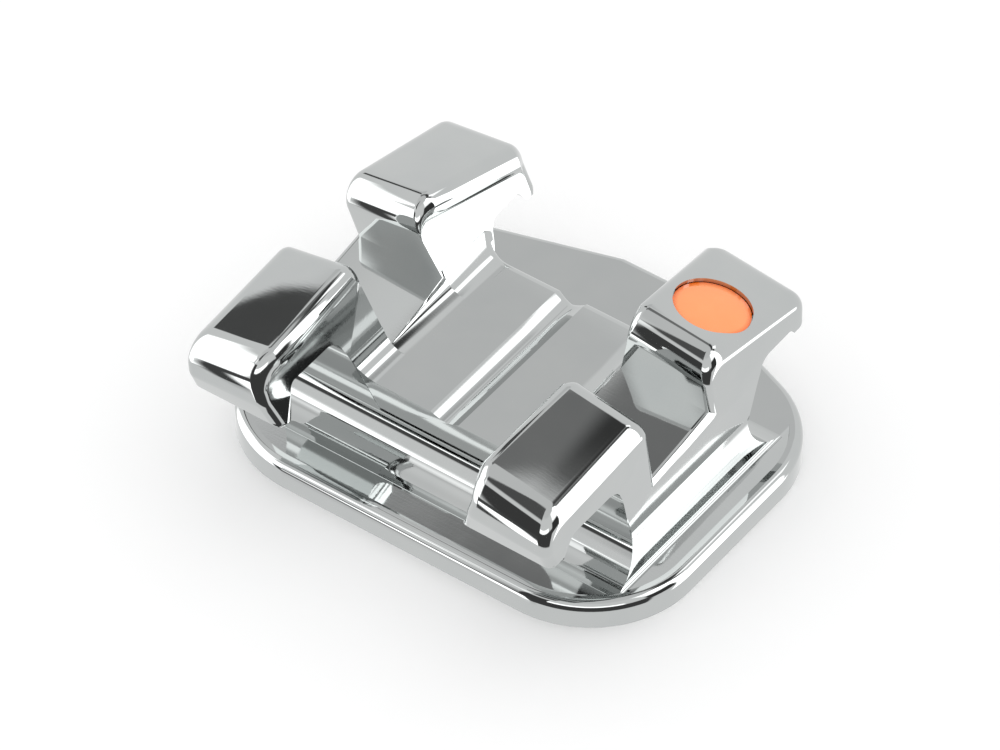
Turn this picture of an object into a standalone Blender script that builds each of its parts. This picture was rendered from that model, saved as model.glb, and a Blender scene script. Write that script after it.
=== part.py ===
# Orthodontic twin bracket, one metal body with four tie wings and an enamelled mark on one of them.
# Frame: +X runs along the archwire slot, +Y towards the gum, +Z away from the tooth.
# The origin lies on the underside of the pad, under the middle of the stem.
import math

import bmesh
import bpy
from mathutils import Matrix, Vector

MM = 0.001

# Pad
pad_width = 3.10 * MM
pad_to_bite_edge = 1.144 * MM
pad_to_gum_edge = 1.465 * MM
pad_thickness = 0.182 * MM
pad_corner_radius = 0.704 * MM
pad_rim_fillet = 0.055 * MM
gum_edge_flat = 0.52 * MM
gum_edge_fall_left = 0.30
gum_edge_fall_right = 0.39

# Stem and the cove that carries it down to the pad
stem_half_width = 1.277 * MM
stem_foot_half_width = 1.359 * MM
stem_flare_top = 0.565 * MM
stem_crease_height = 0.43 * MM
stem_bite_face = 0.638 * MM
stem_gum_face = 0.511 * MM
stem_bite_lean = 13.0
stem_gum_lean = 20.0
stem_rim_land = 0.07 * MM
cove_radius = 0.246 * MM
side_cove_radius = 0.118 * MM

# Archwire slot, 0.022 inch
slot_width = 0.56 * MM
slot_torque = 9.0
slot_floor_height = 0.751 * MM
slot_centre_y = -0.125 * MM
slot_end_rounding = 0.05 * MM

# Pair of tie wings: drafted inner walls with a bead along the top, and rounded outer edges
wing_inner_x = 0.623 * MM
wing_inner_draft = 19.3
wing_crown_x = 0.957 * MM
bead_radius = 0.100 * MM
bead_undercut = 50.0
outer_edge_fillet = 0.085 * MM
nose_edge_fillet = 0.060 * MM
tip_edge_fillet = 0.030 * MM

# Bite side tie wing: crown is the fall of its top outwards, flare and tilt are angles above the slot's floor
bite_wall_height = 0.613 * MM
bite_crown = 0.19
bite_flare = 1.5
bite_tilt = 1.5
bite_lip_radius = 0.115 * MM
bite_nose_y = 1.463 * MM
bite_nose_top = 1.222 * MM
bite_nose_radius = 0.20 * MM
bite_nose_bottom = 0.950 * MM
bite_nose_bottom_radius = 0.13 * MM
bite_chin_y = 1.410 * MM
bite_chin_height = 0.795 * MM
bite_chin_radius = 0.035 * MM
bite_hook_y = 1.305 * MM
bite_hook_radius = 0.022 * MM
bite_palm_y = 1.215 * MM
bite_palm_height = 0.960 * MM
bite_palm_radius = 0.07 * MM
bite_arch_y = 0.790 * MM
bite_arch_height = 0.965 * MM
bite_arch_radius = 0.12 * MM
bite_neck_height = 0.82 * MM

# Gum side tie wing, in the same terms
gum_wall_height = 0.506 * MM
gum_crown = 0.14
gum_flare = 5.0
gum_tilt = 6.0
gum_lip_radius = 0.160 * MM
gum_nose_y = 1.100 * MM
gum_nose_top = 1.085 * MM
gum_nose_radius = 0.155 * MM
gum_chin_height = 0.790 * MM
gum_chin_radius = 0.055 * MM
gum_hook_y = 0.985 * MM
gum_hook_radius = 0.022 * MM
gum_palm_y = 0.940 * MM
gum_palm_height = 0.855 * MM
gum_palm_radius = 0.04 * MM
gum_arch_y = 0.665 * MM
gum_arch_height = 0.845 * MM
gum_arch_radius = 0.10 * MM
gum_neck_height = 0.70 * MM

# Web between the two pairs, with a groove down its middle
web_height = 0.698 * MM
web_cove_height = 0.135 * MM
web_gum_rounding = 0.09 * MM
web_slot_relief = 0.012 * MM
groove_half_width = 0.109 * MM
groove_depth = 0.042 * MM

# Round recess in the gum side wing at +X, filled with enamel
dot_x = 0.991 * MM
dot_y = 0.555 * MM
dot_radius = 0.240 * MM
dot_recess_depth = 0.060 * MM
enamel_clearance = 0.004 * MM
enamel_below_top = 0.018 * MM
enamel_dome = 0.010 * MM

# Retention recess under the pad, with a grid of square studs
base_rim_width = 0.20 * MM
base_recess_depth = 0.075 * MM
stud_side = 0.13 * MM
stud_pitch = 0.25 * MM
stud_rows = 11
stud_columns = 11

# Bodies that are joined reach this far into or past each other, so that no two faces share a plane
seam = 0.003 * MM
# Points that the Booleans leave nearer to each other than this are made one
weld_distance = 0.0006 * MM

# How many steps each rounding takes
arc_steps = 5
fillet_steps = 3

for old in list(bpy.data.objects):
    bpy.data.objects.remove(old, do_unlink=True)


def material(name, colour, metallic, roughness):
    mat = bpy.data.materials.new(name)
    mat.use_nodes = True
    shader = mat.node_tree.nodes["Principled BSDF"]
    shader.inputs["Base Color"].default_value = (*colour, 1.0)
    shader.inputs["Metallic"].default_value = metallic
    shader.inputs["Roughness"].default_value = roughness
    return mat


def rounded(corners, steps):
    """Closed outline with its corners rounded: each corner is (a, b, radius)."""
    points = []
    for i, (a, b, radius) in enumerate(corners):
        here = Vector((a, b))
        if radius <= 0.0:
            points.append(here)
            continue
        back = (Vector(corners[i - 1][:2]) - here).normalized()
        ahead = (Vector(corners[(i + 1) % len(corners)][:2]) - here).normalized()
        half = math.acos(max(-1.0, min(1.0, back.dot(ahead)))) / 2
        centre = here + (back + ahead).normalized() * radius / math.sin(half)
        start = here + back * radius / math.tan(half) - centre
        turn = math.pi - 2 * half
        if back.x * ahead.y - back.y * ahead.x > 0:
            turn = -turn
        for k in range(steps + 1):
            angle = turn * k / steps
            cos, sin = math.cos(angle), math.sin(angle)
            points.append(centre + Vector((start.x * cos - start.y * sin, start.x * sin + start.y * cos)))
    return points


def loft(sections):
    """Closed mesh extruded from ring to ring through sections of equal length, with a face over each end."""
    bm = bmesh.new()
    ring = [bm.verts.new(p) for p in sections[0]]
    edges = [bm.edges.new(pair) for pair in zip(ring, ring[1:] + ring[:1])]
    bmesh.ops.contextual_create(bm, geom=edges)
    for section in sections[1:]:
        made = bmesh.ops.extrude_edge_only(bm, edges=edges)["geom"]
        fresh = {item for item in made if isinstance(item, bmesh.types.BMVert)}
        edges = [item for item in made if isinstance(item, bmesh.types.BMEdge)]
        ring = [next(e.other_vert(v) for e in v.link_edges if e.other_vert(v) in fresh) for v in ring]
        for v, p in zip(ring, section):
            v.co = p
    bmesh.ops.contextual_create(bm, geom=edges)
    bmesh.ops.recalc_face_normals(bm, faces=bm.faces)
    return bm


def add_object(name, bm, mat, guide=False):
    mesh = bpy.data.meshes.new(name)
    bm.to_mesh(mesh)
    bm.free()
    mesh.materials.append(mat)
    obj = bpy.data.objects.new(name, mesh)
    bpy.context.scene.collection.objects.link(obj)
    if guide:
        obj.hide_render = True
        obj.display_type = "WIRE"
    else:
        mesh.shade_smooth()
        mesh.set_sharp_from_angle(angle=math.radians(30))
    return obj


def combine(obj, other, operation):
    boolean = obj.modifiers.new(other.name, "BOOLEAN")
    boolean.solver = "EXACT"
    boolean.operation = operation
    boolean.object = other


def pad_outline(inset, steps):
    """Outline of the pad: straight bite edge, and a gum edge that falls away to both sides."""
    half = pad_width / 2 - inset
    top = pad_to_gum_edge - inset
    flat = gum_edge_flat / 2
    radius = pad_corner_radius - inset
    reach = half - flat
    return rounded([
        (-half, inset - pad_to_bite_edge, radius),
        (half, inset - pad_to_bite_edge, radius),
        (half, top - gum_edge_fall_right * reach, radius),
        (flat, top, 0.0),
        (-flat, top, 0.0),
        (-half, top - gum_edge_fall_left * reach, radius),
    ], steps)


def pad_body():
    heights = [(0.0, 0.0)]
    for k in range(fillet_steps + 1):
        angle = math.pi / 2 * k / fillet_steps
        heights.append((pad_rim_fillet * (1 - math.cos(angle)),
                        pad_thickness - pad_rim_fillet * (1 - math.sin(angle))))
    return loft([[(p.x, p.y, z) for p in pad_outline(inset, 2 * arc_steps)] for inset, z in heights])


def stem_body():
    """Pedestal of rectangles: coves at the pad, a crease, and sides that flare out to their foot."""
    foot_top = pad_thickness + side_cove_radius
    flare_drop = stem_flare_top - foot_top
    flare_run = stem_foot_half_width - stem_half_width
    flare_angle = 2 * math.atan(flare_run / flare_drop)
    flare_radius = flare_drop / math.sin(flare_angle)
    side = [(pad_thickness / 2, stem_foot_half_width + side_cove_radius)]
    for k in range(fillet_steps + 1):
        angle = math.pi / 2 * k / fillet_steps
        side.append((foot_top - side_cove_radius * math.cos(angle),
                     stem_foot_half_width + side_cove_radius * (1 - math.sin(angle))))
    for k in range(1, arc_steps + 1):
        angle = flare_angle * (1 - k / arc_steps)
        side.append((stem_flare_top - flare_radius * math.sin(angle),
                     stem_half_width + flare_radius * (1 - math.cos(angle))))

    def run_out(z):
        if z >= stem_crease_height:
            return 0.0
        depth = min(stem_crease_height - z, cove_radius)
        return cove_radius - math.sqrt(max(0.0, cove_radius ** 2 - depth ** 2))

    heights = {z for z, x in side} | {stem_crease_height}
    for k in range(1, arc_steps + 1):
        heights.add(stem_crease_height - cove_radius * math.sin(math.pi / 2 * k / arc_steps))
    sections = []
    for z in sorted(heights):
        x = side[-1][1]
        for (z0, x0), (z1, x1) in zip(side, side[1:]):
            if z0 <= z <= z1:
                x = x0 + (x1 - x0) * (z - z0) / (z1 - z0)
                break
        x -= seam
        out = run_out(z)
        bite, gum = -stem_bite_face - out, stem_gum_face + out
        sections.append([(-x, bite, z), (x, bite, z), (x, gum, z), (-x, gum, z)])
    return loft(sections)


def stem_trim():
    """Prism that keeps the foot of the stem inside the flat land along the rim of the pad."""
    return loft([[(p.x, p.y, z) for p in pad_outline(stem_rim_land, 2 * arc_steps)]
                 for z in (0.0, web_height)])


def bite_face(z):
    return -stem_bite_face - math.tan(math.radians(stem_bite_lean)) * (z - stem_crease_height)


def gum_face(z):
    return stem_gum_face + math.tan(math.radians(stem_gum_lean)) * (z - stem_crease_height)


def slot_corners():
    """Where the slot's floor meets its two walls, at the crown line, and the way the walls run."""
    along = Vector((math.cos(math.radians(slot_torque)), math.sin(math.radians(slot_torque))))
    up = Vector((-along.y, along.x))
    middle = Vector((slot_centre_y, slot_floor_height))
    return middle - along * slot_width / 2, middle + along * slot_width / 2, up


def wing_profile():
    """Side view of a pair of wings, from the bite side foot over the top to the gum side foot.

    Each corner is (y, z, rounding, bead, inner edge, outer edge), where the last three are radii along
    the side that runs from this corner to the next one.
    """
    near, far, up = slot_corners()
    bite_lip = near + up * bite_wall_height
    gum_lip = far + up * gum_wall_height
    foot = stem_crease_height - cove_radius / 2
    tip = tip_edge_fillet
    nose = nose_edge_fillet
    return [
        (bite_face(foot) - seam, foot, 0.0, 0.0, 0.0, 0.0),
        (bite_face(bite_neck_height) - seam, bite_neck_height, 0.0, 0.0, 0.0, 0.0),
        (-bite_arch_y, bite_arch_height, bite_arch_radius, 0.0, 0.0, 0.0),
        (-bite_palm_y, bite_palm_height, bite_palm_radius, 0.0, 0.0, 0.0),
        (-bite_hook_y, bite_chin_height, bite_hook_radius, 0.0, 0.0, tip),
        (-bite_chin_y, bite_chin_height, bite_chin_radius, 0.0, nose, nose),
        (-bite_nose_y, bite_nose_bottom, bite_nose_bottom_radius, 0.0, nose, nose),
        (-bite_nose_y, bite_nose_top, bite_nose_radius, bead_radius, 0.0, outer_edge_fillet),
        (bite_lip.x, bite_lip.y, bite_lip_radius, 0.0, 0.0, slot_end_rounding),
        (near.x, near.y, 0.0, 0.0, 0.0, slot_end_rounding),
        (far.x, far.y, 0.0, 0.0, 0.0, slot_end_rounding),
        (gum_lip.x, gum_lip.y, gum_lip_radius, bead_radius, 0.0, outer_edge_fillet),
        (gum_nose_y, gum_nose_top, gum_nose_radius, 0.0, nose, nose),
        (gum_nose_y, gum_chin_height, gum_chin_radius, 0.0, 0.0, tip / 2),
        (gum_hook_y, gum_chin_height, gum_hook_radius, 0.0, 0.0, 0.0),
        (gum_palm_y, gum_palm_height, gum_palm_radius, 0.0, 0.0, 0.0),
        (gum_arch_y, gum_arch_height, gum_arch_radius, 0.0, 0.0, 0.0),
        (gum_face(gum_neck_height) + seam, gum_neck_height, 0.0, 0.0, 0.0, 0.0),
        (gum_face(foot) + seam, foot, 0.0, 0.0, 0.0, 0.0),
    ]


def inset_outline(corners, insets):
    """Rounded outline with each side moved in by its own inset, its roundings made smaller to match."""
    sides = []
    for i, corner in enumerate(corners):
        start = Vector(corner[:2])
        along = (Vector(corners[(i + 1) % len(corners)][:2]) - start).normalized()
        sides.append((start + Vector((along.y, -along.x)) * insets[i], along))
    moved = []
    for i, corner in enumerate(corners):
        (p, before), (q, after) = sides[i - 1], sides[i]
        run = (q - p).cross(after) / before.cross(after)
        radius = corner[2]
        if radius > 0.0:
            radius = max(radius - (insets[i - 1] + insets[i]) / 2, seam)
        moved.append((*(p + before * run), radius))
    return rounded(moved, arc_steps)


def spread(corners, values):
    """A value for each point of the rounded outline, passing evenly from side to side at a corner."""
    result = []
    for i, corner in enumerate(corners):
        if corner[2] <= 0.0:
            result.append(max(values[i - 1], values[i]))
            continue
        for k in range(arc_steps + 1):
            result.append(values[i - 1] + (values[i] - values[i - 1]) * k / arc_steps)
    return result


def crowned(x, y, z):
    """Level z once it falls towards the outer end: not at all at the slot's floor, most on top."""
    near, far, up = slot_corners()
    slope, top = (bite_crown, bite_nose_top) if y < slot_centre_y else (gum_crown, gum_nose_top)
    share = max(0.0, min(1.0, (z - far.y) / (top - far.y)))
    return z - slope * share * (x - wing_crown_x)


def inner_x(z):
    return wing_inner_x + math.tan(math.radians(wing_inner_draft)) * (z - slot_floor_height)


def outer_x(y, z):
    flare = bite_flare if y < slot_centre_y else gum_flare
    return stem_half_width + math.tan(math.radians(flare)) * max(0.0, z - slot_floor_height)


def tilt_left(y, z):
    tilt = bite_tilt if y < slot_centre_y else gum_tilt
    return math.tan(math.radians(tilt)) * max(0.0, z - slot_floor_height)


def wing_body(side):
    """Pair of wings on one side (+1 or -1): the side view lofted across, from the bead to the outer edges."""
    corners = wing_profile()
    beads = [corner[3] for corner in corners]
    plain = [corner[4] for corner in corners]
    outer = [corner[5] for corner in corners]
    undercut = math.radians(bead_undercut)
    shares = [bead / bead_radius for bead in spread(corners, beads)]
    sections = []
    for k in range(-fillet_steps, fillet_steps + 1):
        angle = undercut * k / fillet_steps if k < 0 else math.pi / 2 * k / fillet_steps
        deep = 1 - math.sin(angle)
        shallow = 1 - math.sin(max(0.0, angle))
        points = inset_outline(corners, [bead * deep + edge * shallow for bead, edge in zip(beads, plain)])
        if not sections:
            creases = [p.y for p in points]
        over = [bead * (math.cos(undercut) - math.cos(angle)) for bead in spread(corners, beads)]
        out = [edge * (1 - math.cos(max(0.0, angle))) for edge in spread(corners, plain)]
        section = []
        for p, crease, share, rise, back in zip(points, creases, shares, over, out):
            level = p.y + (crease - p.y) * share
            x = inner_x(level) + rise + back
            x = inner_x(crowned(x, p.x, level)) + rise + back
            section.append((x, p.x, crowned(x, p.x, p.y)))
        sections.append(section)
    for k in range(fillet_steps, -1, -1):
        angle = math.pi / 2 * k / fillet_steps
        points = inset_outline(corners, [edge * (1 - math.sin(angle)) for edge in outer])
        back = [edge * (1 - math.cos(angle)) for edge in spread(corners, outer)]
        section = []
        for p, edge in zip(points, back):
            z = crowned(outer_x(*p) - edge, *p)
            section.append((outer_x(p.x, z) - edge, p.x, z))
        sections.append(section)
    bm = loft(sections)
    bmesh.ops.remove_doubles(bm, verts=bm.verts, dist=seam / 100)
    bmesh.ops.bisect_plane(bm, geom=bm.verts[:] + bm.edges[:] + bm.faces[:], dist=seam / 100,
                           plane_co=(0.0, 0.0, slot_floor_height), plane_no=(0.0, 0.0, 1.0))
    for v in bm.verts:
        x, y, z = v.co
        v.co = (side * x - tilt_left(y, z), y, z)
    bmesh.ops.recalc_face_normals(bm, faces=bm.faces)
    return bm


def web_body():
    """Web between the pairs: groove in the middle, coves up to the drafted walls of the wings."""
    bed = inner_x(web_height + web_cove_height)
    top = []
    for k in range(2 * arc_steps + 1):
        share = k / arc_steps - 1
        top.append((groove_half_width * share, web_height - groove_depth * (1 - share ** 2)))
    lean = math.radians(90 - wing_inner_draft)
    tangent = web_cove_height / math.sin(lean)
    foot = bed - web_cove_height / math.tan(lean) - tangent
    for k in range(arc_steps + 1):
        t = k / arc_steps
        a = Vector((foot, web_height))
        b = Vector((foot + tangent, web_height))
        c = Vector((bed, web_height + web_cove_height))
        p = a.lerp(b, t).lerp(b.lerp(c, t), t)
        top.append((p.x, p.y))
    reach = bed + bead_radius / 2
    top.append((reach, web_height + web_cove_height))
    foot = stem_crease_height - cove_radius / 2
    profile = [(-x, z) for x, z in reversed(top) if x > 0.0]
    profile += [p for p in top if p[0] >= 0.0]
    profile = [(-reach, foot)] + profile + [(reach, foot)]
    near, far, up = slot_corners()
    slope = math.tan(math.radians(slot_torque))
    floor = slot_floor_height - seam

    def section(y=None, slotted=False, ending=None):
        points = []
        for x, z in profile:
            if ending is not None and z > foot:
                z -= web_gum_rounding * (1 - math.cos(ending))
            if slotted:
                z = min(z, floor + (y - slot_centre_y) * slope)
            if ending is not None:
                points.append((x, gum_face(z) - web_gum_rounding * (1 - math.sin(ending)), z))
            else:
                points.append((x, bite_face(z) if y is None else y, z))
        return points

    start = near.x - web_slot_relief
    end = far.x + web_slot_relief
    sections = [section(), section(start - seam), section(start, slotted=True),
                section(end, slotted=True), section(end + seam)]
    sections += [section(ending=math.pi / 2 * k / fillet_steps) for k in range(fillet_steps + 1)]
    return loft(sections)


def dot_frame():
    """Place of the enamel recess: on the gum wing's top, with its axis square to that top."""
    near, far, up = slot_corners()
    lip = far + up * gum_wall_height
    fall = (lip.y - gum_nose_top) / (gum_nose_y - lip.x)
    level = lip.y - fall * (dot_y - lip.x)
    level = crowned(dot_x, dot_y, level)
    normal = Vector((gum_crown, fall, 1.0)).normalized()
    turn = Vector((0.0, 0.0, 1.0)).rotation_difference(normal).to_matrix().to_4x4()
    return Matrix.Translation((dot_x, dot_y, level)) @ turn


def disc(radius, low, high, dome, steps):
    """Round plug about its own axis, its top raised in the middle by dome."""
    rings = [(radius, low), (radius, high)]
    for k in range(1, fillet_steps):
        share = 1 - k / fillet_steps
        rings.append((radius * share, high + dome * (1 - share ** 2)))
    sections = []
    for r, z in rings:
        sections.append([(r * math.cos(2 * math.pi * k / steps), r * math.sin(2 * math.pi * k / steps), z)
                         for k in range(steps)])
    bm = loft(sections)
    bmesh.ops.transform(bm, matrix=dot_frame(), verts=bm.verts)
    return bm


def base_recess():
    low = -base_recess_depth
    return loft([[(p.x, p.y, z) for p in pad_outline(base_rim_width, arc_steps)]
                 for z in (low, base_recess_depth)])


def base_studs():
    """Grid of square studs, those of its places that lie wholly inside the recess."""
    bm = bmesh.new()
    wall = pad_outline(base_rim_width + stud_side / 2, arc_steps)

    def inside(x, y):
        turns = [(b - a).cross(Vector((x, y)) - a) for a, b in zip(wall, wall[1:] + wall[:1])]
        return min(turns) > 0.0

    for row in range(stud_rows):
        for column in range(stud_columns):
            x = (column - (stud_columns - 1) / 2) * stud_pitch
            y = (row - (stud_rows - 1) / 2) * stud_pitch
            corners = [(x + i * stud_side / 2, y + j * stud_side / 2) for i in (-1, 1) for j in (-1, 1)]
            if not all(inside(*corner) for corner in corners):
                continue
            made = bmesh.ops.create_cube(bm, size=stud_side)
            height = base_recess_depth + pad_thickness / 2
            bmesh.ops.scale(bm, vec=(1.0, 1.0, height / stud_side), verts=made["verts"])
            bmesh.ops.translate(bm, vec=(x, y, height / 2), verts=made["verts"])
    return bm


steel = material("polished_steel", (0.62, 0.63, 0.63), 1.0, 0.12)
orange = material("orange_enamel", (1.0, 0.35, 0.11), 0.0, 0.25)

bracket = add_object("bracket", pad_body(), steel)
stem = add_object("stem", stem_body(), steel, guide=True)
web = add_object("web", web_body(), steel, guide=True)
left_pair = add_object("left_pair", wing_body(-1), steel, guide=True)
right_pair = add_object("right_pair", wing_body(1), steel, guide=True)
recess = add_object("recess", disc(dot_radius, -dot_recess_depth, dot_recess_depth, 0.0, 8 * arc_steps),
                    steel, guide=True)
underside = add_object("underside", base_recess(), steel, guide=True)
studs = add_object("studs", base_studs(), steel, guide=True)
trim = add_object("trim", stem_trim(), steel, guide=True)
combine(stem, trim, "INTERSECT")
for piece in (stem, web, left_pair, right_pair):
    combine(bracket, piece, "UNION")
combine(bracket, recess, "DIFFERENCE")
combine(bracket, underside, "DIFFERENCE")
combine(bracket, studs, "UNION")
weld = bracket.modifiers.new("weld", "WELD")
weld.merge_threshold = weld_distance

id_dot = add_object("id_dot", disc(dot_radius - enamel_clearance, enamel_clearance - dot_recess_depth,
                                   -enamel_below_top, enamel_dome, 8 * arc_steps), orange)
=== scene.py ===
import math

import bmesh
import bpy
from mathutils import Matrix, Vector


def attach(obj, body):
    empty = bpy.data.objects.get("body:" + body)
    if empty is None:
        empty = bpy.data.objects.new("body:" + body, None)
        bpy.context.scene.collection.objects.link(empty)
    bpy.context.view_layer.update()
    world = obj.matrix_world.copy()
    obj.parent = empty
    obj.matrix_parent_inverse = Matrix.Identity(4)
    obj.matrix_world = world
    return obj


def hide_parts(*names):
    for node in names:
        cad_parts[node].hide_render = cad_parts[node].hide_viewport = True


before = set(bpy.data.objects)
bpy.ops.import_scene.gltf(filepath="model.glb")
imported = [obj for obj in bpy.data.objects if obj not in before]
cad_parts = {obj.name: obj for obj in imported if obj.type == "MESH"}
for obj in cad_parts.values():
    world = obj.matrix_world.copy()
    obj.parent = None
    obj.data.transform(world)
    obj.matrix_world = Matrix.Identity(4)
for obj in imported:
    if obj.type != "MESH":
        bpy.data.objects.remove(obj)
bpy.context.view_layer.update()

MM = 0.001

# Pad
pad_width = 3.10 * MM
pad_to_bite_edge = 1.144 * MM
pad_to_gum_edge = 1.465 * MM
pad_thickness = 0.182 * MM
pad_corner_radius = 0.704 * MM
pad_rim_fillet = 0.055 * MM
gum_edge_flat = 0.52 * MM
gum_edge_fall_left = 0.30
gum_edge_fall_right = 0.39

# Slopes inside the pad's rim: the land along the rim, where each slope starts and how steeply it falls
rim_land = 0.085 * MM
front_slope_start = 0.865 * MM
front_slope_fall = 0.158
side_slope_start = 1.33 * MM
side_slope_fall = 0.19
slope_cutter_top = 1.0 * MM

# Stem and the cove that carries it down to the pad
stem_half_width = 1.277 * MM
stem_foot_half_width = 1.337 * MM
stem_flare_top = 0.565 * MM
stem_crease_height = 0.43 * MM
stem_bite_face = 0.638 * MM
stem_gum_face = 0.511 * MM
stem_bite_lean = 13.0
stem_gum_lean = 20.0
stem_rim_land = 0.07 * MM
cove_radius = 0.246 * MM
side_cove_radius = 0.025 * MM

# Archwire slot, 0.022 inch
slot_width = 0.56 * MM
slot_torque = 9.0
slot_floor_height = 0.751 * MM
slot_centre_y = -0.125 * MM
slot_end_rounding = 0.05 * MM

# Pair of tie wings: drafted inner walls with a bead along the top, and rounded outer edges
wing_inner_x = 0.623 * MM
wing_inner_draft = 19.3
wing_crown_x = 0.957 * MM
bead_radius = 0.100 * MM
bead_undercut = 50.0
outer_edge_fillet = 0.105 * MM
nose_edge_fillet = 0.065 * MM
tip_edge_fillet = 0.030 * MM

# Bite side tie wing: crown is the fall of its top outwards, flare and tilt are angles above the slot's floor
bite_wall_height = 0.613 * MM
bite_crown = 0.19
bite_flare = 1.5
bite_tilt = 1.5
bite_lip_radius = 0.115 * MM
bite_nose_y = 1.463 * MM
bite_nose_top = 1.222 * MM
bite_nose_radius = 0.20 * MM
bite_nose_bottom = 0.950 * MM
bite_nose_bottom_radius = 0.13 * MM
bite_chin_y = 1.410 * MM
bite_chin_height = 0.795 * MM
bite_chin_radius = 0.035 * MM
bite_hook_y = 1.305 * MM
bite_hook_radius = 0.022 * MM
bite_palm_y = 1.215 * MM
bite_palm_height = 0.960 * MM
bite_palm_radius = 0.07 * MM
bite_arch_y = 0.790 * MM
bite_arch_height = 0.965 * MM
bite_arch_radius = 0.12 * MM
bite_neck_height = 0.82 * MM

# Gum side tie wing, in the same terms
gum_wall_height = 0.506 * MM
gum_crown = 0.14
gum_flare = 5.0
gum_tilt = 6.0
gum_lip_radius = 0.160 * MM
gum_nose_y = 1.100 * MM
gum_nose_top = 1.085 * MM
gum_nose_radius = 0.155 * MM
gum_chin_height = 0.790 * MM
gum_chin_radius = 0.055 * MM
gum_hook_y = 0.985 * MM
gum_hook_radius = 0.022 * MM
gum_palm_y = 0.940 * MM
gum_palm_height = 0.855 * MM
gum_palm_radius = 0.04 * MM
gum_arch_y = 0.665 * MM
gum_arch_height = 0.845 * MM
gum_arch_radius = 0.10 * MM
gum_neck_height = 0.70 * MM

# Web between the two pairs, with a groove down its middle
web_height = 0.698 * MM
web_cove_height = 0.135 * MM
web_gum_rounding = 0.09 * MM
web_slot_relief = 0.012 * MM
groove_half_width = 0.100 * MM
groove_depth = 0.042 * MM
groove_fullness = 1.5

# Round recess in the gum side wing at +X, filled with enamel
dot_x = 0.991 * MM
dot_y = 0.555 * MM
dot_radius = 0.240 * MM
dot_recess_depth = 0.060 * MM
enamel_clearance = 0.004 * MM
enamel_below_top = 0.034 * MM
enamel_dome = 0.010 * MM

# Retention recess under the pad, with a grid of square studs
base_rim_width = 0.20 * MM
base_recess_depth = 0.075 * MM
stud_side = 0.13 * MM
stud_pitch = 0.25 * MM
stud_rows = 11
stud_columns = 11

# Bodies that are joined reach this far into or past each other, so that no two faces share a plane
seam = 0.003 * MM
# Points that the Booleans leave nearer to each other than this are made one
weld_distance = 0.0001 * MM

# How many steps each rounding takes, and the angles in degrees above which an edge is drawn sharp
arc_steps = 12
fillet_steps = 8
dot_steps = 96
steel_edge_angle = 26.0
enamel_edge_angle = 30.0

# Sizes of the patterns on the surfaces; hairs and grain are drawn coarser than real ones, so that they show
cloud_size = 0.286 * MM
hair_length = 0.333 * MM
hair_spacing = 0.0143 * MM
grain_size = 0.0111 * MM
scratch_depth = 0.0001 * MM
enamel_flow_size = 0.111 * MM
enamel_ripple_depth = 0.001 * MM
paper_fibre_size = 0.111 * MM
paper_tooth_depth = 0.01 * MM

# Camera at the photograph's angle: azimuth and elevation in degrees, and its place across, up and back
view_azimuth = 36.19
view_elevation = 44.27
view_across = -0.0948 * MM
view_up = 0.3539 * MM
view_distance = 46.752 * MM

# Floor, just under the pad
floor_half_width = 200.0 * MM
floor_gap = 0.002 * MM

# Brightness of the even fill on matt surfaces, and of the room that the metal mirrors
fill = 1.25
room = 0.97

# Patches of the mirrored studio, later ones over earlier ones. Each has its west and east ends and its low
# and high ends in degrees, the softness of its edges, its brightness, and how steeply it leans. Azimuth 0 is
# the gum side, 90 is +X, and 180 is the bite side.
studio_patches = [
    (-200, 200, 62, 100, 6, 0.85, 0),       # ceiling
    (-58, -24, 38, 53, 3, 0.8, 0),          # gray panel, gum side, left
    (-200, -151, 50, 86, 3, 0.12, 0),       # dark flag overhead, bite side, left
    (-60, 50, 57.5, 67, 1.2, 0.25, 0),      # dark band overhead, gum side
    (-11, 34, 56, 66, 4, 0.06, 0),          # its darkest stretch
    (-63, -50, 34.5, 48, 1, 0.10, 1.3),     # leaning flag, gum side, left
    (50, 68, -26, 64, 2.5, 4.0, 0),         # tall soft box, gum side, right
    (41, 68, -35, -22, 2, 3.0, 0),          # soft box at its foot
    (66, 92, 36, 62, 4, 2.4, 0),            # high soft box, right
    (69, 96, -4, 32, 2, 0.05, 0),           # black flag, right
    (92, 200, -38, 14, 3, 0.07, 0),         # long black flag, right to bite side
    (-200, -157, -38, 38, 1.5, 0.07, 0),    # black flag, bite side
    (115, 200, 14, 26, 2, 2.5, 0),          # light strip over the long flag
    (-134, -88, -30, 46, 3, 2.5, 0),        # broad soft box, left
    (-152, -130, -30, 33, 0.8, 2.5, 0),     # soft box, bite side, left
    (-156, -144, 38, 52, 2.5, 1.6, 0),      # light panel above it
    (-144, -134, 38, 52, 2.5, 0.8, 0),      # gray panel beside that
    (-166, -143, -40, -7, 2, 0.09, 0),      # low black flag, bite side, left
    (18, 34, 40, 56, 1.5, 2.2, 0),          # soft box, gum side
    (35, 47, 46.5, 57, 1.5, 0.08, 0),       # black flag beside it
    (-160, -150, -40, -18, 2, 3.0, 0),      # low soft box, bite side
]


def rounded(corners, steps):
    """Closed outline with its corners rounded: each corner is (a, b, radius)."""
    points = []
    for i, (a, b, radius) in enumerate(corners):
        here = Vector((a, b))
        if radius <= 0.0:
            points.append(here)
            continue
        back = (Vector(corners[i - 1][:2]) - here).normalized()
        ahead = (Vector(corners[(i + 1) % len(corners)][:2]) - here).normalized()
        half = math.acos(max(-1.0, min(1.0, back.dot(ahead)))) / 2
        centre = here + (back + ahead).normalized() * radius / math.sin(half)
        start = here + back * radius / math.tan(half) - centre
        turn = math.pi - 2 * half
        if back.x * ahead.y - back.y * ahead.x > 0:
            turn = -turn
        for k in range(steps + 1):
            angle = turn * k / steps
            cos, sin = math.cos(angle), math.sin(angle)
            points.append(centre + Vector((start.x * cos - start.y * sin, start.x * sin + start.y * cos)))
    return points


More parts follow.
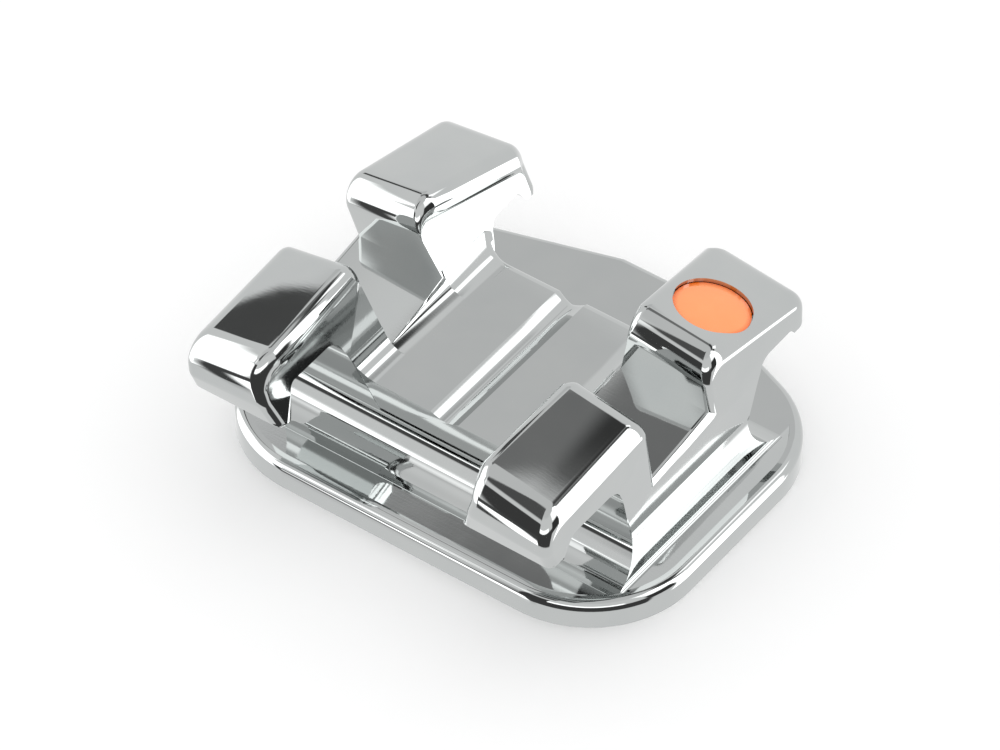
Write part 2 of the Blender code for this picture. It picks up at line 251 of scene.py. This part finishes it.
def loft(sections):
    """Closed mesh extruded from ring to ring through sections of equal length, with a face over each end."""
    bm = bmesh.new()
    ring = [bm.verts.new(p) for p in sections[0]]
    edges = [bm.edges.new(pair) for pair in zip(ring, ring[1:] + ring[:1])]
    bmesh.ops.contextual_create(bm, geom=edges)
    for section in sections[1:]:
        made = bmesh.ops.extrude_edge_only(bm, edges=edges)["geom"]
        fresh = {item for item in made if isinstance(item, bmesh.types.BMVert)}
        edges = [item for item in made if isinstance(item, bmesh.types.BMEdge)]
        ring = [next(e.other_vert(v) for e in v.link_edges if e.other_vert(v) in fresh) for v in ring]
        for v, p in zip(ring, section):
            v.co = p
    bmesh.ops.contextual_create(bm, geom=edges)
    bmesh.ops.recalc_face_normals(bm, faces=bm.faces)
    return bm


def pad_outline(inset, steps):
    """Outline of the pad: straight bite edge, and a gum edge that falls away to both sides."""
    half = pad_width / 2 - inset
    top = pad_to_gum_edge - inset
    flat = gum_edge_flat / 2
    radius = pad_corner_radius - inset
    reach = half - flat
    return rounded([
        (-half, inset - pad_to_bite_edge, radius),
        (half, inset - pad_to_bite_edge, radius),
        (half, top - gum_edge_fall_right * reach, radius),
        (flat, top, 0.0),
        (-flat, top, 0.0),
        (-half, top - gum_edge_fall_left * reach, radius),
    ], steps)


def pad_body():
    heights = [(0.0, 0.0)]
    for k in range(fillet_steps + 1):
        angle = math.pi / 2 * k / fillet_steps
        heights.append((pad_rim_fillet * (1 - math.cos(angle)),
                        pad_thickness - pad_rim_fillet * (1 - math.sin(angle))))
    return loft([[(p.x, p.y, z) for p in pad_outline(inset, 2 * arc_steps)] for inset, z in heights])


def stem_body():
    """Pedestal of rectangles: coves at the pad, a crease, and sides that flare out to their foot."""
    foot_top = pad_thickness + side_cove_radius
    flare_drop = stem_flare_top - foot_top
    flare_run = stem_foot_half_width - stem_half_width
    flare_angle = 2 * math.atan(flare_run / flare_drop)
    flare_radius = flare_drop / math.sin(flare_angle)
    side = [(pad_thickness / 2, stem_foot_half_width + side_cove_radius)]
    for k in range(fillet_steps + 1):
        angle = math.pi / 2 * k / fillet_steps
        side.append((foot_top - side_cove_radius * math.cos(angle),
                     stem_foot_half_width + side_cove_radius * (1 - math.sin(angle))))
    for k in range(1, arc_steps + 1):
        angle = flare_angle * (1 - k / arc_steps)
        side.append((stem_flare_top - flare_radius * math.sin(angle),
                     stem_half_width + flare_radius * (1 - math.cos(angle))))

    def run_out(z):
        if z >= stem_crease_height:
            return 0.0
        depth = min(stem_crease_height - z, cove_radius)
        return cove_radius - math.sqrt(max(0.0, cove_radius ** 2 - depth ** 2))

    heights = {z for z, x in side} | {stem_crease_height}
    for k in range(1, arc_steps + 1):
        heights.add(stem_crease_height - cove_radius * math.sin(math.pi / 2 * k / arc_steps))
    sections = []
    for z in sorted(heights):
        x = side[-1][1]
        for (z0, x0), (z1, x1) in zip(side, side[1:]):
            if z0 <= z <= z1:
                x = x0 + (x1 - x0) * (z - z0) / (z1 - z0)
                break
        x -= seam
        out = run_out(z)
        bite, gum = -stem_bite_face - out, stem_gum_face + out
        sections.append([(-x, bite, z), (x, bite, z), (x, gum, z), (-x, gum, z)])
    return loft(sections)


def stem_trim():
    """Prism that keeps the foot of the stem inside the flat land along the rim of the pad."""
    return loft([[(p.x, p.y, z) for p in pad_outline(stem_rim_land, 2 * arc_steps)]
                 for z in (0.0, web_height)])


def bite_face(z):
    return -stem_bite_face - math.tan(math.radians(stem_bite_lean)) * (z - stem_crease_height)


def gum_face(z):
    return stem_gum_face + math.tan(math.radians(stem_gum_lean)) * (z - stem_crease_height)


def slot_corners():
    """Where the slot's floor meets its two walls, at the crown line, and the way the walls run."""
    along = Vector((math.cos(math.radians(slot_torque)), math.sin(math.radians(slot_torque))))
    up = Vector((-along.y, along.x))
    middle = Vector((slot_centre_y, slot_floor_height))
    return middle - along * slot_width / 2, middle + along * slot_width / 2, up


def wing_profile():
    """Side view of a pair of wings, from the bite side foot over the top to the gum side foot.

    Each corner is (y, z, rounding, bead, inner edge, outer edge), where the last three are radii along
    the side that runs from this corner to the next one.
    """
    near, far, up = slot_corners()
    bite_lip = near + up * bite_wall_height
    gum_lip = far + up * gum_wall_height
    foot = stem_crease_height - cove_radius / 2
    tip = tip_edge_fillet
    nose = nose_edge_fillet
    return [
        (bite_face(foot) - seam, foot, 0.0, 0.0, 0.0, 0.0),
        (bite_face(bite_neck_height) - seam, bite_neck_height, 0.0, 0.0, 0.0, 0.0),
        (-bite_arch_y, bite_arch_height, bite_arch_radius, 0.0, 0.0, 0.0),
        (-bite_palm_y, bite_palm_height, bite_palm_radius, 0.0, 0.0, 0.0),
        (-bite_hook_y, bite_chin_height, bite_hook_radius, 0.0, 0.0, tip),
        (-bite_chin_y, bite_chin_height, bite_chin_radius, 0.0, nose, nose),
        (-bite_nose_y, bite_nose_bottom, bite_nose_bottom_radius, 0.0, nose, nose),
        (-bite_nose_y, bite_nose_top, bite_nose_radius, bead_radius, 0.0, outer_edge_fillet),
        (bite_lip.x, bite_lip.y, bite_lip_radius, 0.0, 0.0, slot_end_rounding),
        (near.x, near.y, 0.0, 0.0, 0.0, slot_end_rounding),
        (far.x, far.y, 0.0, 0.0, 0.0, slot_end_rounding),
        (gum_lip.x, gum_lip.y, gum_lip_radius, bead_radius, 0.0, outer_edge_fillet),
        (gum_nose_y, gum_nose_top, gum_nose_radius, 0.0, nose, nose),
        (gum_nose_y, gum_chin_height, gum_chin_radius, 0.0, 0.0, tip / 2),
        (gum_hook_y, gum_chin_height, gum_hook_radius, 0.0, 0.0, 0.0),
        (gum_palm_y, gum_palm_height, gum_palm_radius, 0.0, 0.0, 0.0),
        (gum_arch_y, gum_arch_height, gum_arch_radius, 0.0, 0.0, 0.0),
        (gum_face(gum_neck_height) + seam, gum_neck_height, 0.0, 0.0, 0.0, 0.0),
        (gum_face(foot) + seam, foot, 0.0, 0.0, 0.0, 0.0),
    ]


def inset_outline(corners, insets):
    """Rounded outline with each side moved in by its own inset, its roundings made smaller to match."""
    sides = []
    for i, corner in enumerate(corners):
        start = Vector(corner[:2])
        along = (Vector(corners[(i + 1) % len(corners)][:2]) - start).normalized()
        sides.append((start + Vector((along.y, -along.x)) * insets[i], along))
    moved = []
    for i, corner in enumerate(corners):
        (p, before), (q, after) = sides[i - 1], sides[i]
        run = (q - p).cross(after) / before.cross(after)
        radius = corner[2]
        if radius > 0.0:
            radius = max(radius - (insets[i - 1] + insets[i]) / 2, seam)
        moved.append((*(p + before * run), radius))
    return rounded(moved, arc_steps)


def spread(corners, values):
    """A value for each point of the rounded outline, passing evenly from side to side at a corner."""
    result = []
    for i, corner in enumerate(corners):
        if corner[2] <= 0.0:
            result.append(max(values[i - 1], values[i]))
            continue
        for k in range(arc_steps + 1):
            result.append(values[i - 1] + (values[i] - values[i - 1]) * k / arc_steps)
    return result


def crowned(x, y, z):
    """Level z once it falls towards the outer end: not at all at the slot's floor, most on top."""
    near, far, up = slot_corners()
    slope, top = (bite_crown, bite_nose_top) if y < slot_centre_y else (gum_crown, gum_nose_top)
    share = max(0.0, min(1.0, (z - far.y) / (top - far.y)))
    return z - slope * share * (x - wing_crown_x)


def inner_x(z):
    return wing_inner_x + math.tan(math.radians(wing_inner_draft)) * (z - slot_floor_height)


def outer_x(y, z):
    flare = bite_flare if y < slot_centre_y else gum_flare
    return stem_half_width + math.tan(math.radians(flare)) * max(0.0, z - slot_floor_height)


def tilt_left(y, z):
    tilt = bite_tilt if y < slot_centre_y else gum_tilt
    return math.tan(math.radians(tilt)) * max(0.0, z - slot_floor_height)


def wing_body(side):
    """Pair of wings on one side (+1 or -1): the side view lofted across, from the bead to the outer edges."""
    corners = wing_profile()
    beads = [corner[3] for corner in corners]
    plain = [corner[4] for corner in corners]
    outer = [corner[5] for corner in corners]
    undercut = math.radians(bead_undercut)
    shares = [bead / bead_radius for bead in spread(corners, beads)]
    sections = []
    for k in range(-fillet_steps, fillet_steps + 1):
        angle = undercut * k / fillet_steps if k < 0 else math.pi / 2 * k / fillet_steps
        deep = 1 - math.sin(angle)
        shallow = 1 - math.sin(max(0.0, angle))
        points = inset_outline(corners, [bead * deep + edge * shallow for bead, edge in zip(beads, plain)])
        if not sections:
            creases = [p.y for p in points]
        over = [bead * (math.cos(undercut) - math.cos(angle)) for bead in spread(corners, beads)]
        out = [edge * (1 - math.cos(max(0.0, angle))) for edge in spread(corners, plain)]
        section = []
        for p, crease, share, rise, back in zip(points, creases, shares, over, out):
            level = p.y + (crease - p.y) * share
            x = inner_x(level) + rise + back
            x = inner_x(crowned(x, p.x, level)) + rise + back
            section.append((x, p.x, crowned(x, p.x, p.y)))
        sections.append(section)
    for k in range(fillet_steps, -1, -1):
        angle = math.pi / 2 * k / fillet_steps
        points = inset_outline(corners, [edge * (1 - math.sin(angle)) for edge in outer])
        back = [edge * (1 - math.cos(angle)) for edge in spread(corners, outer)]
        section = []
        for p, edge in zip(points, back):
            z = crowned(outer_x(*p) - edge, *p)
            section.append((outer_x(p.x, z) - edge, p.x, z))
        sections.append(section)
    bm = loft(sections)
    bmesh.ops.remove_doubles(bm, verts=bm.verts, dist=seam / 100)
    bmesh.ops.bisect_plane(bm, geom=bm.verts[:] + bm.edges[:] + bm.faces[:], dist=seam / 100,
                           plane_co=(0.0, 0.0, slot_floor_height), plane_no=(0.0, 0.0, 1.0))
    for v in bm.verts:
        x, y, z = v.co
        v.co = (side * x - tilt_left(y, z), y, z)
    bmesh.ops.recalc_face_normals(bm, faces=bm.faces)
    return bm


def web_body():
    """Web between the pairs: groove in the middle, coves up to the drafted walls of the wings."""
    bed = inner_x(web_height + web_cove_height)
    top = []
    for k in range(2 * arc_steps + 1):
        share = k / arc_steps - 1
        depth = groove_depth * (1 - abs(share) ** groove_fullness)
        top.append((groove_half_width * share, web_height - depth))
    lean = math.radians(90 - wing_inner_draft)
    tangent = web_cove_height / math.sin(lean)
    foot = bed - web_cove_height / math.tan(lean) - tangent
    for k in range(arc_steps + 1):
        t = k / arc_steps
        a = Vector((foot, web_height))
        b = Vector((foot + tangent, web_height))
        c = Vector((bed, web_height + web_cove_height))
        p = a.lerp(b, t).lerp(b.lerp(c, t), t)
        top.append((p.x, p.y))
    reach = bed + bead_radius / 2
    top.append((reach, web_height + web_cove_height))
    foot = stem_crease_height - cove_radius / 2
    profile = [(-x, z) for x, z in reversed(top) if x > 0.0]
    profile += [p for p in top if p[0] >= 0.0]
    profile = [(-reach, foot)] + profile + [(reach, foot)]
    near, far, up = slot_corners()
    slope = math.tan(math.radians(slot_torque))
    floor = slot_floor_height - seam

    def section(y=None, slotted=False, ending=None):
        points = []
        for x, z in profile:
            if ending is not None and z > foot:
                z -= web_gum_rounding * (1 - math.cos(ending))
            if slotted:
                z = min(z, floor + (y - slot_centre_y) * slope)
            if ending is not None:
                points.append((x, gum_face(z) - web_gum_rounding * (1 - math.sin(ending)), z))
            else:
                points.append((x, bite_face(z) if y is None else y, z))
        return points

    start = near.x - web_slot_relief
    end = far.x + web_slot_relief
    sections = [section(), section(start - seam), section(start, slotted=True),
                section(end, slotted=True), section(end + seam)]
    sections += [section(ending=math.pi / 2 * k / fillet_steps) for k in range(fillet_steps + 1)]
    return loft(sections)


def dot_frame():
    """Place of the enamel recess: on the gum wing's top, with its axis square to that top."""
    near, far, up = slot_corners()
    lip = far + up * gum_wall_height
    fall = (lip.y - gum_nose_top) / (gum_nose_y - lip.x)
    level = lip.y - fall * (dot_y - lip.x)
    level = crowned(dot_x, dot_y, level)
    normal = Vector((gum_crown, fall, 1.0)).normalized()
    turn = Vector((0.0, 0.0, 1.0)).rotation_difference(normal).to_matrix().to_4x4()
    return Matrix.Translation((dot_x, dot_y, level)) @ turn


def disc(radius, low, high, dome, steps):
    """Round plug about its own axis, its top raised in the middle by dome."""
    rings = [(radius, low), (radius, high)]
    for k in range(1, fillet_steps):
        share = 1 - k / fillet_steps
        rings.append((radius * share, high + dome * (1 - share ** 2)))
    sections = []
    for r, z in rings:
        sections.append([(r * math.cos(2 * math.pi * k / steps), r * math.sin(2 * math.pi * k / steps), z)
                         for k in range(steps)])
    bm = loft(sections)
    bmesh.ops.transform(bm, matrix=dot_frame(), verts=bm.verts)
    return bm


def base_recess():
    low = -base_recess_depth
    return loft([[(p.x, p.y, z) for p in pad_outline(base_rim_width, arc_steps)]
                 for z in (low, base_recess_depth)])


def base_studs():
    """Grid of square studs, those of its places that lie wholly inside the recess."""
    bm = bmesh.new()
    wall = pad_outline(base_rim_width + stud_side / 2, arc_steps)

    def inside(x, y):
        turns = [(b - a).cross(Vector((x, y)) - a) for a, b in zip(wall, wall[1:] + wall[:1])]
        return min(turns) > 0.0

    for row in range(stud_rows):
        for column in range(stud_columns):
            x = (column - (stud_columns - 1) / 2) * stud_pitch
            y = (row - (stud_rows - 1) / 2) * stud_pitch
            corners = [(x + i * stud_side / 2, y + j * stud_side / 2) for i in (-1, 1) for j in (-1, 1)]
            if not all(inside(*corner) for corner in corners):
                continue
            made = bmesh.ops.create_cube(bm, size=stud_side)
            height = base_recess_depth + pad_thickness / 2
            bmesh.ops.scale(bm, vec=(1.0, 1.0, height / stud_side), verts=made["verts"])
            bmesh.ops.translate(bm, vec=(x, y, height / 2), verts=made["verts"])
    return bm


def linear(code):
    """sRGB hex colour as linear RGBA."""
    parts = [int(code[i:i + 2], 16) / 255 for i in (1, 3, 5)]
    return tuple(c / 12.92 if c <= 0.04045 else ((c + 0.055) / 1.055) ** 2.4 for c in parts) + (1.0,)


def add_node(tree, kind, links=None, **settings):
    """Adds a node, sets its properties or its sockets by name, and links sockets to it."""
    node = tree.nodes.new(kind)
    for name, value in settings.items():
        if hasattr(node, name):
            setattr(node, name, value)
        else:
            node.inputs[name.replace("_", " ")].default_value = value
    for socket, source in (links or {}).items():
        tree.links.new(source, node.inputs[socket])
    return node


def new_material(name):
    mat = bpy.data.materials.new(name)
    mat.use_nodes = True
    return mat, mat.node_tree, mat.node_tree.nodes["Principled BSDF"]


def buffed_stainless_steel():
    """Stainless steel, barrel polished and then buffed: a mirror with cloudy sheen, grain and scratches."""
    steel, tree, shader = new_material("buffed_stainless_steel")
    place = add_node(tree, "ShaderNodeTexCoord")
    cloud = add_node(tree, "ShaderNodeTexNoise", {"Vector": place.outputs["Object"]},
                     Scale=1 / cloud_size, Detail=3.0)
    tone = add_node(tree, "ShaderNodeMix", {"Factor": cloud.outputs["Fac"]}, data_type="RGBA")
    tone.inputs[6].default_value = linear("#BBBEBE")
    tone.inputs[7].default_value = linear("#C3C5C4")
    tree.links.new(tone.outputs[2], shader.inputs["Base Color"])
    haze = add_node(tree, "ShaderNodeMapRange", {"Value": cloud.outputs["Fac"]},
                    From_Min=0.35, From_Max=0.7, To_Min=0.025, To_Max=0.06)
    tree.links.new(haze.outputs["Result"], shader.inputs["Roughness"])
    drawn = add_node(tree, "ShaderNodeMapping", {"Vector": place.outputs["Object"]},
                     Scale=(1 / hair_length, 1 / hair_spacing, 1 / hair_spacing), Rotation=(0.0, 0.0, 0.4))
    hairs = add_node(tree, "ShaderNodeTexNoise", {"Vector": drawn.outputs["Vector"]}, Scale=1.0, Detail=2.0)
    scratches = add_node(tree, "ShaderNodeBump", {"Height": hairs.outputs["Fac"]},
                         Strength=0.3, Distance=scratch_depth)
    grain = add_node(tree, "ShaderNodeTexNoise", {"Vector": place.outputs["Object"]},
                     Scale=1 / grain_size, Detail=2.0)
    buffed = add_node(tree, "ShaderNodeBump",
                      {"Height": grain.outputs["Fac"], "Normal": scratches.outputs["Normal"]},
                      Strength=0.2, Distance=scratch_depth)
    tree.links.new(buffed.outputs["Normal"], shader.inputs["Normal"])
    shader.inputs["Metallic"].default_value = 1.0
    return steel


def orange_fired_enamel():
    """Fired enamel: orange glass over a flat ground, with a ring of painted shade and reflection, deeper
    orange, where it meets the recess's wall.
    """
    enamel, tree, shader = new_material("orange_fired_enamel")
    place = add_node(tree, "ShaderNodeTexCoord")
    offset = add_node(tree, "ShaderNodeVectorMath", {0: place.outputs["Object"]}, operation="DISTANCE")
    offset.inputs[1].default_value = dot_frame().translation
    # Painted shade and reflection of the recess's wall: a ring from 0.86 to 0.985 of the dot's radius turns
    # deeper orange
    edge_shade_mask = add_node(tree, "ShaderNodeMapRange", {"Value": offset.outputs["Value"]},
                    From_Min=0.86 * dot_radius, From_Max=0.985 * dot_radius)
    flow = add_node(tree, "ShaderNodeTexNoise", {"Vector": place.outputs["Object"]},
                    Scale=1 / enamel_flow_size, Detail=3.0)
    ground = add_node(tree, "ShaderNodeMix", {"Factor": flow.outputs["Fac"]}, data_type="RGBA")
    ground.inputs[6].default_value = linear("#F78F4F")
    ground.inputs[7].default_value = linear("#FB9656")
    # Mixes the deeper orange of the painted shade ring over the ground colour
    edge_shade_mix = add_node(tree, "ShaderNodeMix", {"Factor": edge_shade_mask.outputs["Result"]}, data_type="RGBA")
    tree.links.new(ground.outputs[2], edge_shade_mix.inputs[6])
    edge_shade_mix.inputs[7].default_value = linear("#F06A12")
    tree.links.new(edge_shade_mix.outputs[2], shader.inputs["Base Color"])
    ripple = add_node(tree, "ShaderNodeBump", {"Height": flow.outputs["Fac"]},
                      Strength=0.4, Distance=enamel_ripple_depth)
    tree.links.new(ripple.outputs["Normal"], shader.inputs["Normal"])
    sheen = add_node(tree, "ShaderNodeMapRange", {"Value": flow.outputs["Fac"]}, To_Min=0.06, To_Max=0.16)
    tree.links.new(sheen.outputs["Result"], shader.inputs["Roughness"])
    shader.inputs["Coat Weight"].default_value = 0.6
    shader.inputs["Coat Roughness"].default_value = 0.03
    return enamel


def matt_white_paper():
    """Matt white paper with a faint tooth of fibres, and clear where it is seen from below."""
    paper, tree, shader = new_material("matt_white_paper")
    place = add_node(tree, "ShaderNodeTexCoord")
    fibre = add_node(tree, "ShaderNodeTexNoise", {"Vector": place.outputs["Object"]},
                     Scale=1 / paper_fibre_size, Detail=4.0)
    tooth = add_node(tree, "ShaderNodeBump", {"Height": fibre.outputs["Fac"]},
                     Strength=0.04, Distance=paper_tooth_depth)
    tree.links.new(tooth.outputs["Normal"], shader.inputs["Normal"])
    shader.inputs["Base Color"].default_value = linear("#EEEEEE")
    shader.inputs["Roughness"].default_value = 1.0
    shader.inputs["Specular IOR Level"].default_value = 0.0
    side = add_node(tree, "ShaderNodeNewGeometry")
    clear = add_node(tree, "ShaderNodeBsdfTransparent")
    halves = add_node(tree, "ShaderNodeMixShader",
                      {"Fac": side.outputs["Backfacing"], 1: shader.outputs["BSDF"],
                       2: clear.outputs["BSDF"]})
    tree.links.new(halves.outputs["Shader"], tree.nodes["Material Output"].inputs["Surface"])
    return paper


def add_piece(name, bm, mat):
    mesh = bpy.data.meshes.new(name)
    bm.to_mesh(mesh)
    bm.free()
    mesh.materials.append(mat)
    obj = bpy.data.objects.new(name, mesh)
    bpy.context.scene.collection.objects.link(obj)
    return obj


def combine(obj, other, operation):
    boolean = obj.modifiers.new(other.name, "BOOLEAN")
    boolean.solver = "EXACT"
    boolean.operation = operation
    boolean.object = other


def settle(obj, name, mat):
    """One finished mesh from an object and its modifiers, smooth over its roundings and flat on its faces."""
    depsgraph = bpy.context.evaluated_depsgraph_get()
    mesh = bpy.data.meshes.new_from_object(obj.evaluated_get(depsgraph))
    mesh.name = name
    mesh.materials.clear()
    mesh.materials.append(mat)
    mesh.shade_smooth()
    mesh.set_sharp_from_angle(angle=math.radians(steel_edge_angle))
    piece = bpy.data.objects.new(name, mesh)
    bpy.context.scene.collection.objects.link(piece)
    weighted = piece.modifiers.new("weighted", "WEIGHTED_NORMAL")
    weighted.mode = "FACE_AREA"
    weighted.weight = 100
    weighted.keep_sharp = True
    return piece


def rim_slope(side_x, side_y, start, fall):
    """Cutter inside the rim: all that lies above a plane that falls outwards from a line at start."""
    outline = pad_outline(rim_land, 2 * arc_steps)
    bm = loft([[(p.x, p.y, z) for p in outline] for z in (pad_thickness / 2, slope_cutter_top)])
    bmesh.ops.bisect_plane(bm, geom=bm.verts[:] + bm.edges[:] + bm.faces[:], clear_inner=True,
                           plane_co=(side_x * start, side_y * start, pad_thickness),
                           plane_no=(side_x * fall, side_y * fall, 1.0))
    bmesh.ops.holes_fill(bm, edges=[e for e in bm.edges if e.is_boundary], sides=0)
    bmesh.ops.recalc_face_normals(bm, faces=bm.faces)
    return bm


def polished_bracket(steel):
    """Pad, stem, web and both pairs of wings joined, with the dot's recess and the studded recess below."""
    body = add_piece("body", pad_body(), steel)
    slopes = [add_piece("front_slope", rim_slope(0, -1, front_slope_start, front_slope_fall), steel),
              add_piece("right_slope", rim_slope(1, 0, side_slope_start, side_slope_fall), steel),
              add_piece("left_slope", rim_slope(-1, 0, side_slope_start, side_slope_fall), steel)]
    for slope in slopes:
        combine(body, slope, "DIFFERENCE")
    stem = add_piece("stem", stem_body(), steel)
    trim = add_piece("trim", stem_trim(), steel)
    combine(stem, trim, "INTERSECT")
    parts = [stem, add_piece("web", web_body(), steel), add_piece("left_pair", wing_body(-1), steel),
             add_piece("right_pair", wing_body(1), steel)]
    for part in parts:
        combine(body, part, "UNION")
    recess = add_piece("recess", disc(dot_radius, -dot_recess_depth, dot_recess_depth, 0.0, dot_steps), steel)
    underside = add_piece("underside", base_recess(), steel)
    studs = add_piece("studs", base_studs(), steel)
    combine(body, recess, "DIFFERENCE")
    combine(body, underside, "DIFFERENCE")
    combine(body, studs, "UNION")
    weld = body.modifiers.new("weld", "WELD")
    weld.merge_threshold = weld_distance
    bracket = settle(body, "polished_bracket", steel)
    for guide in [body, trim, recess, underside, studs] + parts + slopes:
        bpy.data.objects.remove(guide, do_unlink=True)
    return bracket


def enamel_dot(enamel):
    dot = add_piece("enamel_dot", disc(dot_radius - enamel_clearance, enamel_clearance - dot_recess_depth,
                                       -enamel_below_top, enamel_dome, dot_steps), enamel)
    dot.data.shade_smooth()
    dot.data.set_sharp_from_angle(angle=math.radians(enamel_edge_angle))
    return dot


def photograph_camera():
    azimuth, elevation = math.radians(view_azimuth), math.radians(view_elevation)
    back = Vector((math.sin(azimuth) * math.cos(elevation), -math.cos(azimuth) * math.cos(elevation),
                   math.sin(elevation)))
    right = Vector((math.cos(azimuth), math.sin(azimuth), 0.0))
    up = back.cross(right)
    camera_data = bpy.data.cameras.new("camera")
    camera_data.lens = 288.0
    camera_data.sensor_width = 36.0
    camera_data.clip_start = 0.001
    camera_data.clip_end = 10.0
    camera = bpy.data.objects.new("camera", camera_data)
    place = right * view_across + up * view_up + back * view_distance
    camera.matrix_world = Matrix.Translation(place) @ Matrix((right, up, back)).transposed().to_4x4()
    bpy.context.scene.collection.objects.link(camera)
    bpy.context.scene.camera = camera


def pale_floor():
    """Plain floor that the pad stands on; mirrored rays pass it to the studio."""
    sheet = bmesh.new()
    bmesh.ops.create_grid(sheet, x_segments=1, y_segments=1, size=floor_half_width)
    bmesh.ops.translate(sheet, vec=(0.0, 0.0, -floor_gap), verts=sheet.verts)
    floor = add_piece("floor", sheet, matt_white_paper())
    floor.visible_glossy = False
    return floor


def band(tree, source, low, high, soft):
    """1 between low and high degrees, with edges that fade over soft degrees."""
    low, high, soft = (math.radians(v) for v in (low, high, soft))
    enter = add_node(tree, "ShaderNodeMapRange", {"Value": source}, interpolation_type="SMOOTHSTEP",
                     From_Min=low - soft, From_Max=low + soft)
    leave = add_node(tree, "ShaderNodeMapRange", {"Value": source}, interpolation_type="SMOOTHSTEP",
                     From_Min=high - soft, From_Max=high + soft, To_Min=1.0, To_Max=0.0)
    return add_node(tree, "ShaderNodeMath", {0: enter.outputs["Result"], 1: leave.outputs["Result"]},
                    operation="MULTIPLY").outputs["Value"]


def studio():
    """World of a pale room with soft boxes and dark flags, which only mirrored rays see."""
    world = bpy.data.worlds.new("studio")
    bpy.context.scene.world = world
    world.use_nodes = True
    world.cycles.sampling_method = "NONE"
    tree = world.node_tree
    tree.nodes.clear()
    place = add_node(tree, "ShaderNodeTexCoord")
    split = add_node(tree, "ShaderNodeSeparateXYZ", {"Vector": place.outputs["Generated"]})
    turn = add_node(tree, "ShaderNodeMath", {0: split.outputs["X"], 1: split.outputs["Y"]},
                    operation="ARCTAN2")
    rise = add_node(tree, "ShaderNodeMath", {0: split.outputs["Z"]}, operation="ARCSINE")
    value = None
    for west, east, low, high, soft, level, lean in studio_patches:
        across = band(tree, turn.outputs["Value"], west, east, soft)
        height = rise.outputs["Value"]
        if lean:
            slant = add_node(tree, "ShaderNodeMath", {0: turn.outputs["Value"]}, operation="MULTIPLY_ADD")
            slant.inputs[1].default_value = -lean
            slant.inputs[2].default_value = lean * math.radians((west + east) / 2)
            height = add_node(tree, "ShaderNodeMath", {0: height, 1: slant.outputs["Value"]}).outputs["Value"]
        along = band(tree, height, low, high, soft)
        mask = add_node(tree, "ShaderNodeMath", {0: across, 1: along}, operation="MULTIPLY")
        mix = add_node(tree, "ShaderNodeMix", {"Factor": mask.outputs["Value"]}, data_type="FLOAT")
        mix.inputs[2].default_value = room
        mix.inputs[3].default_value = level
        if value is not None:
            tree.links.new(value, mix.inputs[2])
        value = mix.outputs[0]
    # Floor and enamel are lit by the even fill, and the camera sees white
    ray = add_node(tree, "ShaderNodeLightPath")
    mirrored = add_node(tree, "ShaderNodeMath", {0: ray.outputs["Is Glossy Ray"],
                                                 1: ray.outputs["Is Transmission Ray"]}, operation="MAXIMUM")
    lit = add_node(tree, "ShaderNodeMix", {"Factor": mirrored.outputs["Value"]}, data_type="FLOAT")
    lit.inputs[2].default_value = fill
    tree.links.new(value, lit.inputs[3])
    final = add_node(tree, "ShaderNodeMix", {"Factor": ray.outputs["Is Camera Ray"]}, data_type="FLOAT")
    tree.links.new(lit.outputs[0], final.inputs[2])
    final.inputs[3].default_value = 1.0
    background = add_node(tree, "ShaderNodeBackground", {"Strength": final.outputs[0]}, Color=(1, 1, 1, 1))
    add_node(tree, "ShaderNodeOutputWorld", {"Surface": background.outputs["Background"]})


bracket = polished_bracket(buffed_stainless_steel())
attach(bracket, "root")
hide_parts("bracket")
dot = enamel_dot(orange_fired_enamel())
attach(dot, "root")
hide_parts("id_dot")
photograph_camera()
pale_floor()
studio()
bpy.context.scene.view_settings.view_transform = "Standard"
